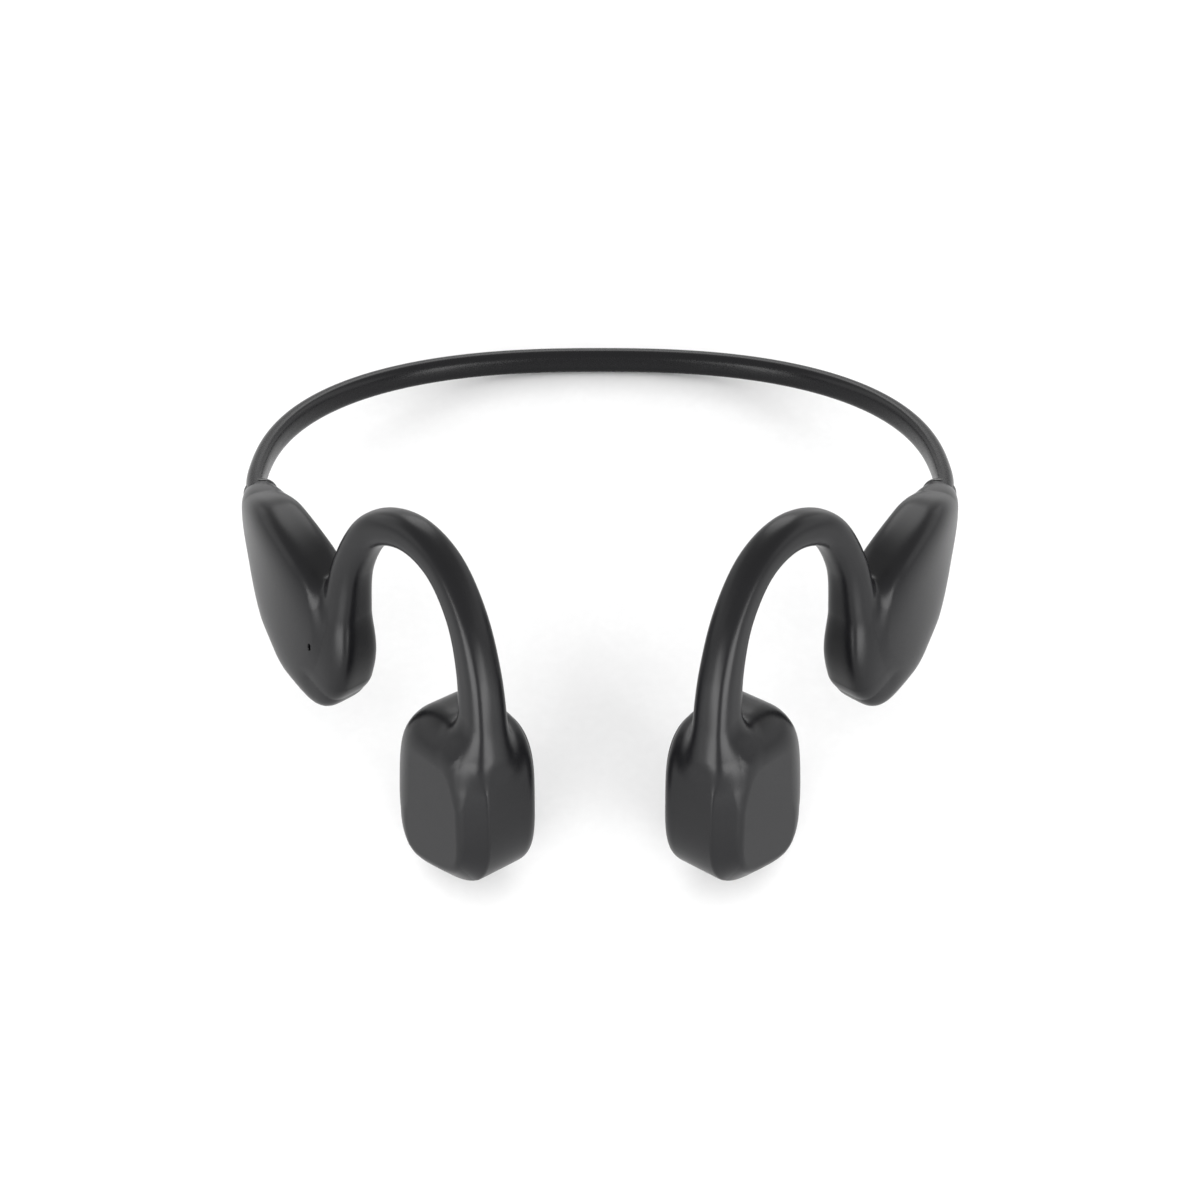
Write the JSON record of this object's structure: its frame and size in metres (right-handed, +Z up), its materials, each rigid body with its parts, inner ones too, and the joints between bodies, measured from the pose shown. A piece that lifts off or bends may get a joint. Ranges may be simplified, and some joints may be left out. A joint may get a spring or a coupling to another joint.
{
  "type": "bone conduction headphones",
  "caption": "Wireless bone conduction headphones: a sprung band behind the head, ear hooks, side pods and transducers that rest on the cheekbones.",
  "frame": {"origin": "middle of the bounding box, on the surface the headset rests on", "axes": "+Z up in the resting pose, the wearer faces -Y, the wearer's left arm is on +X"},
  "size_m": [0.144, 0.1418, 0.0643],
  "materials": {
    "moulded_shell": "satin black moulded plastic with a fine spark texture",
    "collar_plastic": "polished black moulded ring",
    "band_silicone": "smooth black silicone skin",
    "pad_silicone": "soft matte black silicone",
    "key_rubber": "matte black key caps",
    "memory_alloy": "drawn titanium alloy wire",
    "cable_jacket": "thin cable jacket",
    "seal_rubber": "round rubber cord and closed-cell foam",
    "soft_iron": "zinc plated steel",
    "magnet_nickel": "nickel plated magnet",
    "coil_copper": "enamelled copper winding",
    "spring_copper": "etched beryllium copper sheet",
    "plate_aluminium": "machined aluminium",
    "cell_foil": "pouch cell foil",
    "board_green": "solder mask over glass fibre",
    "shield_tin": "tinned steel shield can",
    "contact_gold": "gold plated metal",
    "switch_nylon": "moulded nylon switch body"
  },
  "bodies": {
    "band": {"band_sleeve": "band_silicone", "memory_wire": "memory_alloy", "link_cable": "cable_jacket"},
    "arm_left": {"sleeve_left": "band_silicone", "memory_wire_left": "memory_alloy", "link_cable_left": "cable_jacket", "collar_left": "collar_plastic", "arm_shell_left": "moulded_shell", "pod_cover_left": "moulded_shell", "cover_seal_left": "seal_rubber", "hook_wire_left": "memory_alloy", "driver_cable_left": "cable_jacket", "magnet_cup_left": "soft_iron", "magnet_left": "magnet_nickel", "pole_plate_left": "soft_iron", "suspension_left": "spring_copper", "battery": "cell_foil", "protection_board": "board_green", "battery_foam": "seal_rubber", "switch_call": "switch_nylon"},
    "arm_right": {"sleeve_right": "band_silicone", "memory_wire_right": "memory_alloy", "link_cable_right": "cable_jacket", "collar_right": "collar_plastic", "arm_shell_right": "moulded_shell", "pod_cover_right": "moulded_shell", "cover_seal_right": "seal_rubber", "hook_wire_right": "memory_alloy", "driver_cable_right": "cable_jacket", "magnet_cup_right": "soft_iron", "magnet_right": "magnet_nickel", "pole_plate_right": "soft_iron", "suspension_right": "spring_copper", "main_board": "board_green", "radio_shield": "shield_tin", "microphone": "contact_gold", "mic_gasket": "seal_rubber", "charge_pins": "contact_gold", "dock_magnets": "magnet_nickel", "switch_plus": "switch_nylon", "switch_minus": "switch_nylon"},
    "driver_left": {"voice_coil_left": "coil_copper", "vibration_plate_left": "plate_aluminium", "contact_pad_left": "pad_silicone"},
    "driver_right": {"voice_coil_right": "coil_copper", "vibration_plate_right": "plate_aluminium", "contact_pad_right": "pad_silicone"},
    "key_plus": {"key_plus": "key_rubber"},
    "key_minus": {"key_minus": "key_rubber"},
    "key_call": {"key_call": "key_rubber"}
  },
  "joints": [
    {"name": "band_flex_left", "type": "hinge", "parent": "band", "child": "arm_left", "pos_m": [0.03523, 0.06415, 0.00468], "axis": [0, 0.3859, 0.9225], "range_deg": [0, 24], "stiffness_Nm_per_rad": 0.25},
    {"name": "band_flex_right", "type": "hinge", "parent": "band", "child": "arm_right", "pos_m": [-0.03523, 0.06415, 0.00468], "axis": [0, -0.3859, -0.9225], "range_deg": [0, 24], "stiffness_Nm_per_rad": 0.25},
    {"name": "transducer_left", "type": "slide", "parent": "arm_left", "child": "driver_left", "axis": [0.7547, -0.6052, 0.2532], "range_m": [-0.00025, 0.00025], "stiffness_N_per_m": 2500},
    {"name": "transducer_right", "type": "slide", "parent": "arm_right", "child": "driver_right", "axis": [-0.7547, -0.6052, 0.2532], "range_m": [-0.00025, 0.00025], "stiffness_N_per_m": 2500},
    {"name": "key_plus_press", "type": "slide", "parent": "arm_right", "child": "key_plus", "axis": [0.2716, -0.5499, 0.7898], "range_m": [0, 0.0004], "stiffness_N_per_m": 300},
    {"name": "key_minus_press", "type": "slide", "parent": "arm_right", "child": "key_minus", "axis": [0.3192, -0.4638, 0.8265], "range_m": [0, 0.0004], "stiffness_N_per_m": 300},
    {"name": "key_call_press", "type": "slide", "parent": "arm_left", "child": "key_call", "axis": [-0.2971, -0.539, 0.7882], "range_m": [0, 0.0004], "stiffness_N_per_m": 300}
  ]
}
